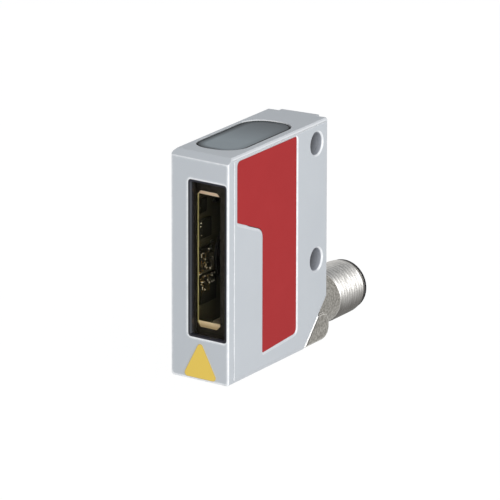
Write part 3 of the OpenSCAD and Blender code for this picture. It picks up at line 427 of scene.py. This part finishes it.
MATERIALS = {
    "turned_nickel": turned_nickel(),
    "coat_metal": coat_metal(),
    "cast_nickel": cast_nickel(),
    "red_film": red_film(),
    "yellow_film": yellow_film(),
    "smoked_lens": smoked_lens(),
    "circuit_board": circuit_board(),
    "coil_wire": coil_wire(),
    "dark_carrier": dark_carrier(),
    "black_frame": black_frame(),
    "rubber": moulded("rubber", (0.012, 0.012, 0.012), (0.02, 0.02, 0.021), 0.62),
    "black_insert": moulded("black_insert", (0.012, 0.012, 0.013), (0.022, 0.022, 0.024), 0.45),
    "chip_body": moulded("chip_body", (0.006, 0.006, 0.004), (0.012, 0.011, 0.007), 0.5, 0.08, shine=0.2),
    "lamp_body": moulded("lamp_body", (0.6, 0.6, 0.55), (0.75, 0.75, 0.7), 0.35),
    "ivory": moulded("ivory", (0.5, 0.46, 0.36), (0.6, 0.56, 0.45), 0.4),
    "magnet": moulded("magnet", (0.02, 0.02, 0.022), (0.04, 0.04, 0.042), 0.55, 0.06),
    "window_glass": clear("window_glass", (0.9, 0.86, 0.76), 0.001, 1.085),
    "optic_glass": clear("optic_glass", (0.85, 0.87, 0.92), 0.01),
    "mirror_coat": metal("mirror_coat", (0.8, 0.8, 0.82), (0.86, 0.86, 0.88), 0.06, 0.8, 0.0005, 0.05),
    "steel": metal("steel", (0.42, 0.42, 0.43), (0.55, 0.55, 0.56), 0.28, 0.3, 0.004, 0.06),
    "dark_steel": metal("dark_steel", (0.03, 0.03, 0.032), (0.05, 0.05, 0.053), 0.4, 0.3, 0.004, 0.06),
    "brass": metal("brass", (0.5, 0.34, 0.12), (0.66, 0.47, 0.18), 0.3, 0.3, 0.004, 0.06),
    "gold": metal("gold", (0.72, 0.5, 0.17), (0.85, 0.62, 0.24), 0.22, 0.3, 0.002, 0.05),
    "bright_tin": metal("bright_tin", (0.85, 0.84, 0.8), (0.95, 0.93, 0.88), 0.14, 0.3, 0.002, 0.05),
    # Painted shade for the end of the plug's sleeve
    "painted_shade_rim": moulded("painted_shade_rim", (0.012, 0.012, 0.012), (0.02, 0.02, 0.02), 0.6, shine=0.1),
}

NODE_MATERIALS = {
    "coat_metal": ["housing", "side_cover"],
    "rubber": ["cover_gasket", "swivel_seal"],
    "red_film": ["side_label"],
    "yellow_film": ["front_marker"],
    "black_frame": ["window_frame"],
    "window_glass": ["window_pane"],
    "smoked_lens": ["indicator_lens"],
    "circuit_board": ["indicator_board", "main_board", "receiver_board"],
    "lamp_body": ["indicator_leds"],
    "chip_body": ["board_chips", "photodiode"],
    "steel": ["board_screws", "laser_diode", "motor_shaft", "retaining_ring"],
    "dark_steel": ["motor_base", "rotor_cup"],
    "ivory": ["wire_socket"],
    "dark_carrier": ["optics_carrier"],
    "brass": ["laser_barrel", "shaft_bearing"],
    "optic_glass": ["collimator_lens", "receiver_lens"],
    "mirror_coat": ["collecting_mirror", "mirror_wheel"],
    "coil_wire": ["motor_coils"],
    "magnet": ["rotor_magnet"],
    "cast_nickel": ["swivel_foot"],
    "turned_nickel": ["thread_sleeve"],
    "black_insert": ["contact_insert"],
    "gold": ["contact_pins"],
}


def dress_nodes():
    """Gives the solids of the frame their materials."""
    for look, names in NODE_MATERIALS.items():
        for name in names:
            for slot in nodes[name].material_slots:
                slot.material = MATERIALS[look]


# Meshes


def piece(name, bm, body, look, smooth=40):
    """Makes an object of a bmesh in metres, with soft shading below an angle, riding on a body."""
    bmesh.ops.recalc_face_normals(bm, faces=bm.faces)
    mesh = bpy.data.meshes.new(name)
    bm.to_mesh(mesh)
    bm.free()
    mesh.materials.append(MATERIALS[look])
    mesh.polygons.foreach_set("use_smooth", [True] * len(mesh.polygons))
    mesh.set_sharp_from_angle(angle=math.radians(smooth))
    obj = bpy.data.objects.new(name, mesh)
    bpy.context.scene.collection.objects.link(obj)
    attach(obj, body)
    return obj


def threaded_sleeve():
    """The turned sleeve of the plug, with a real helical thread and a band of painted shade at its end."""
    low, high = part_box("thread_sleeve")
    axis_z = (low.z + high.z) / 2
    start = low.y / MM
    # Radii, and how far the band of painted shade is bevelled outside and within
    crest = (high.z - low.z) / 2 / MM
    core, neck, bore, rim = 5.2, 4.8, 4.25, 5.5
    rim_bevel, mouth_bevel = 0.14, 0.3
    # Lengths along the sleeve, which ends a little before the solid does
    shortened, neck_length, band_length = 0.3, 4.9, 0.85
    end = high.y / MM - shortened
    first, last = start + neck_length, end - band_length
    # The thread: its flanks start and rise within these shares of half a pitch, and it runs in, runs out
    # and tapers over these lengths
    pitch, step, facets = 1.0, 0.08, 96
    flank_start, flank_rise = 0.15, 0.7
    run_in, run_out, taper_length, taper_depth = 0.8, 0.5, 1.6, 0.3

    def helix(y, turn):
        """Radius of the thread, which runs in at the first turn and tapers towards the end."""
        ridge = 1 - abs(2 * (((y - first) / pitch - turn) % 1) - 1)
        flank = min(1, max(0, (ridge - flank_start) / flank_rise))
        grown = min(1, max(0, (y - first) / run_in)) * min(1, max(0, (last - y) / run_out))
        taper = taper_depth * max(0, (y - last + taper_length) / taper_length) ** 2
        return core + (crest - core) * flank * grown - taper

    steps = round((last - first) / step)
    profile = [(start, lambda turn: neck), (first - 0.02, lambda turn: neck)]
    for i in range(steps + 1):
        y = first + (last - first) * i / steps
        profile.append((y, lambda turn, y=y: helix(y, turn)))
    band = [(last + 0.05, rim), (end - 0.12, rim), (end, rim - rim_bevel), (end, bore + mouth_bevel),
            (end - mouth_bevel, bore), (start, bore)]
    profile += [(y, lambda turn, r=r: r) for y, r in band]

    bm = bmesh.new()
    rings = []
    for y, radius_at in profile:
        ring = []
        for k in range(facets):
            r = radius_at(k / facets) * MM
            angle = 2 * math.pi * k / facets
            ring.append(bm.verts.new((r * math.cos(angle), y * MM, axis_z + r * math.sin(angle))))
        rings.append(ring)
    rings.append(rings[0])
    # The rows of faces from the start of the band to the bore carry the painted shade
    shade_from = len(profile) - len(band)
    shade_to = len(profile) - 2
    for number, (near, far) in enumerate(zip(rings, rings[1:])):
        for k in range(facets):
            after = (k + 1) % facets
            face = bm.faces.new((near[k], near[after], far[after], far[k]))
            face.material_index = int(shade_from <= number < shade_to)
    sleeve = piece("threaded_sleeve", bm, "plug", "turned_nickel", 32)
    sleeve.data.materials.append(MATERIALS["painted_shade_rim"])
    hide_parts("thread_sleeve")


def add_block(bm, low, high, bevel):
    """Adds a box between two corners in millimetres, with its edges bevelled."""
    made = bmesh.ops.create_cube(bm, size=1)["verts"]
    size = [(b - a) * MM for a, b in zip(low, high)]
    middle = [(a + b) / 2 * MM for a, b in zip(low, high)]
    bmesh.ops.scale(bm, vec=size, verts=made)
    bmesh.ops.translate(bm, vec=middle, verts=made)
    edges = list({e for v in made for e in v.link_edges})
    bmesh.ops.bevel(bm, geom=edges, offset=bevel * MM, segments=2, affect="EDGES", profile=0.6)


def add_bead(bm, centre, radius, draw, fineness=1):
    """Adds a small bead of solder, turned at random."""
    turn = Quaternion([draw.gauss(0, 1) for _ in range(4)]).normalized().to_matrix().to_4x4()
    matrix = Matrix.Translation(Vector(centre) * MM) @ turn
    bmesh.ops.create_icosphere(bm, subdivisions=fineness, radius=radius * MM, matrix=matrix)


# The chips on the main board: first and last place along Y and Z, and thickness
CHIPS = [(-12.54, -6.04, 13.8, 19.8, 0.9), (-12.54, -8.54, 20.8, 25.8, 0.8), (-12.84, -7.84, 27.8, 31.8, 0.8),
         (-12.54, -9.54, 33.3, 36.3, 0.7)]
# Seed of the draws, how many beads and small parts there are, and the beads' radii
SEED = 8
TIN_BEADS, GOLD_BEADS, SMALL_PARTS = 58, 120, 20
TIN_RADII, GOLD_RADII, LONE_RADIUS = (0.12, 0.15, 0.19, 0.25), (0.05, 0.13), 0.15
# Where the beads and parts lie along Y and Z: from, to, and with a third number the place with the most
TIN_Y, TIN_Z = (-12.4, -5.8), (15.6, 25.9, 21)
GOLD_Y, GOLD_Z = (-12.5, -7.5, -12), (15.2, 25.5, 18.5)
PART_Y, PART_Z = (-8.1, -6.2), (20.6, 26.2)
# Places of the beads that stand apart higher up, along Y and Z
LONE_BEADS = [(-12.3, 34.6), (-11.9, 33.0), (-12.0, 31.2), (-12.2, 30.6), (-11.8, 28.6)]
# Half sizes of a small part along Y and Z, its height and its bevel
PART_HALF_Y, PART_HALF_Z, PART_HEIGHT, PART_BEVEL = 0.2, 0.12, 0.3, 0.03


def board_parts():
    """Beads of solder and small parts on the main board and its chips, which glint behind the window."""
    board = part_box("main_board")[1].x / MM
    draw = random.Random(SEED)
    bodies, tin, gold = bmesh.new(), bmesh.new(), bmesh.new()

    def on_face(y, z):
        """The point at a place on the board, or on the chip that covers it."""
        covering = [thickness for y0, y1, z0, z1, thickness in CHIPS if y0 < y < y1 and z0 < z < z1]
        return board + max(covering, default=0), y, z

    for _ in range(TIN_BEADS):
        spot = on_face(draw.uniform(*TIN_Y), draw.triangular(*TIN_Z))
        add_bead(tin, spot, draw.choice(TIN_RADII), draw, 3)
    for _ in range(GOLD_BEADS):
        spot = on_face(draw.triangular(*GOLD_Y), draw.triangular(*GOLD_Z))
        add_bead(gold, spot, draw.uniform(*GOLD_RADII), draw)
    for y, z in LONE_BEADS:
        add_bead(tin, on_face(y, z), LONE_RADIUS, draw, 3)
    # Small parts between the chips and the motor
    for _ in range(SMALL_PARTS):
        y, z = draw.uniform(*PART_Y), draw.uniform(*PART_Z)
        low = (board, y - PART_HALF_Y, z - PART_HALF_Z)
        high = (board + PART_HEIGHT, y + PART_HALF_Y, z + PART_HALF_Z)
        add_block(bodies, low, high, PART_BEVEL)
    piece("small_parts", bodies, "sensor", "chip_body")
    piece("tin_beads", tin, "sensor", "bright_tin")
    piece("gold_beads", gold, "sensor", "gold", 10)


# Camera, lamps, floor

# The camera's azimuth, elevation and roll, its distance and the point it turns about, and its shift
CAMERA_ANGLES = (30.64, 15.9, 0.125)
CAMERA_DISTANCE = 1322.8
AIM = Vector((0, 0, 24))
SHIFT_ACROSS, SHIFT_UP = -0.41, 0.8
LENS = 459.7
# Strength of the world's light, and the lamps' distance in metres
FILL = 0.5
LAMP_DISTANCE = 0.75
# Name, azimuth and elevation, width in metres and power in watts
LAMPS = [("key", (50, 20), 0.45, 4.15)]
# Room between the plug and the floor
FLOOR_GAP = 0.3
# Share and strength of the plain white in the floor's look, and half the floor's width in metres
FLOOR_SHARE, FLOOR_WHITE = 0.9, 1.06
FLOOR_HALF_WIDTH = 4


def around(azimuth, elevation, distance):
    """A place round the sensor, where azimuth 0 is straight in front and 90 on the cover side."""
    turn, rise = math.radians(azimuth), math.radians(elevation)
    way = Vector((math.sin(turn) * math.cos(rise), -math.cos(turn) * math.cos(rise), math.sin(rise)))
    return distance * way


def set_camera():
    """The photograph's view: a long lens from the front right, a little above the sensor."""
    azimuth, elevation, roll = CAMERA_ANGLES
    back = around(azimuth, elevation, 1)
    level = around(azimuth + 90, 0, 1)
    upward = back.cross(level)
    roll = math.radians(roll)
    right = math.cos(roll) * level + math.sin(roll) * upward
    up = math.cos(roll) * upward - math.sin(roll) * level
    camera = bpy.data.objects.new("camera", bpy.data.cameras.new("camera"))
    bpy.context.scene.collection.objects.link(camera)
    camera.data.sensor_width = 36
    camera.data.lens = LENS
    camera.data.clip_start, camera.data.clip_end = 0.05, 20
    spot = (AIM + back * CAMERA_DISTANCE - right * SHIFT_ACROSS - up * SHIFT_UP) * MM
    turn = Matrix((right, up, back)).transposed().to_4x4()
    camera.matrix_world = Matrix.Translation(spot) @ turn
    bpy.context.scene.camera = camera


def add_lamp(name, place, size, power):
    """A square soft lamp that points at the sensor."""
    data = bpy.data.lights.new(name, "AREA")
    data.size = size
    data.energy = power
    lamp = bpy.data.objects.new(name, data)
    lamp.location = place
    lamp.rotation_euler = (AIM * MM - place).to_track_quat("-Z", "Y").to_euler()
    bpy.context.scene.collection.objects.link(lamp)


def seen_share(tree, share):
    """A share for what is seen directly, in metal or through glass, and 0 for light on the sensor."""
    path = tree.nodes.new("ShaderNodeLightPath")
    total = path.outputs["Is Camera Ray"]
    for name in ("Is Glossy Ray", "Is Transmission Ray"):
        joined = tree.nodes.new("ShaderNodeMath")
        joined.operation = "MAXIMUM"
        tree.links.new(total, joined.inputs[0])
        tree.links.new(path.outputs[name], joined.inputs[1])
        total = joined.outputs[0]
    part = tree.nodes.new("ShaderNodeMath")
    part.operation = "MULTIPLY"
    tree.links.new(total, part.inputs[0])
    part.inputs[1].default_value = share
    return part.outputs[0]


def show_white(tree, surface, white, output, share):
    """Mixes plain white into a surface, by the share of rays that show it."""
    mix = tree.nodes.new("ShaderNodeMixShader")
    tree.links.new(seen_share(tree, share), mix.inputs[0])
    tree.links.new(surface, mix.inputs[1])
    tree.links.new(white, mix.inputs[2])
    tree.links.new(mix.outputs[0], tree.nodes[output].inputs["Surface"])


def set_world():
    """A white world that is seen as plain white and lights the sensor softly."""
    world = bpy.data.worlds.new("studio")
    bpy.context.scene.world = world
    world.use_nodes = True
    tree = world.node_tree
    fill = tree.nodes["Background"]
    fill.inputs["Color"].default_value = (0.95, 0.97, 1, 1)
    fill.inputs["Strength"].default_value = FILL
    seen = tree.nodes.new("ShaderNodeBackground")
    seen.inputs["Color"].default_value = (1, 1, 1, 1)
    show_white(tree, fill.outputs[0], seen.outputs[0], "World Output", 1)


def set_floor():
    """A plain white floor that keeps a faint shadow, just below the plug when it points down."""
    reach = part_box("thread_sleeve")[1].y / MM - SWIVEL_POINT[1]
    level = min(0, SWIVEL_POINT[2] - reach) - FLOOR_GAP
    bm = bmesh.new()
    bmesh.ops.create_grid(bm, x_segments=1, y_segments=1, size=FLOOR_HALF_WIDTH)
    mesh = bpy.data.meshes.new("floor")
    bm.to_mesh(mesh)
    bm.free()
    floor = bpy.data.objects.new("floor", mesh)
    floor.location.z = level * MM
    bpy.context.scene.collection.objects.link(floor)
    paint = bpy.data.materials.new("floor")
    paint.use_nodes = True
    tree = paint.node_tree
    base = tree.nodes["Principled BSDF"]
    base.inputs["Base Color"].default_value = (0.9, 0.9, 0.9, 1)
    base.inputs["Roughness"].default_value = 0.9
    base.inputs["Specular IOR Level"].default_value = 0
    white = tree.nodes.new("ShaderNodeEmission")
    white.inputs["Strength"].default_value = FLOOR_WHITE
    show_white(tree, base.outputs[0], white.outputs[0], "Material Output", FLOOR_SHARE)
    mesh.materials.append(paint)


set_camera()
dress_nodes()
threaded_sleeve()
board_parts()
set_world()
set_floor()
for lamp, angles, width, watts in LAMPS:
    add_lamp(lamp, around(*angles, LAMP_DISTANCE), width, watts)
bpy.context.scene.view_settings.view_transform = "Standard"
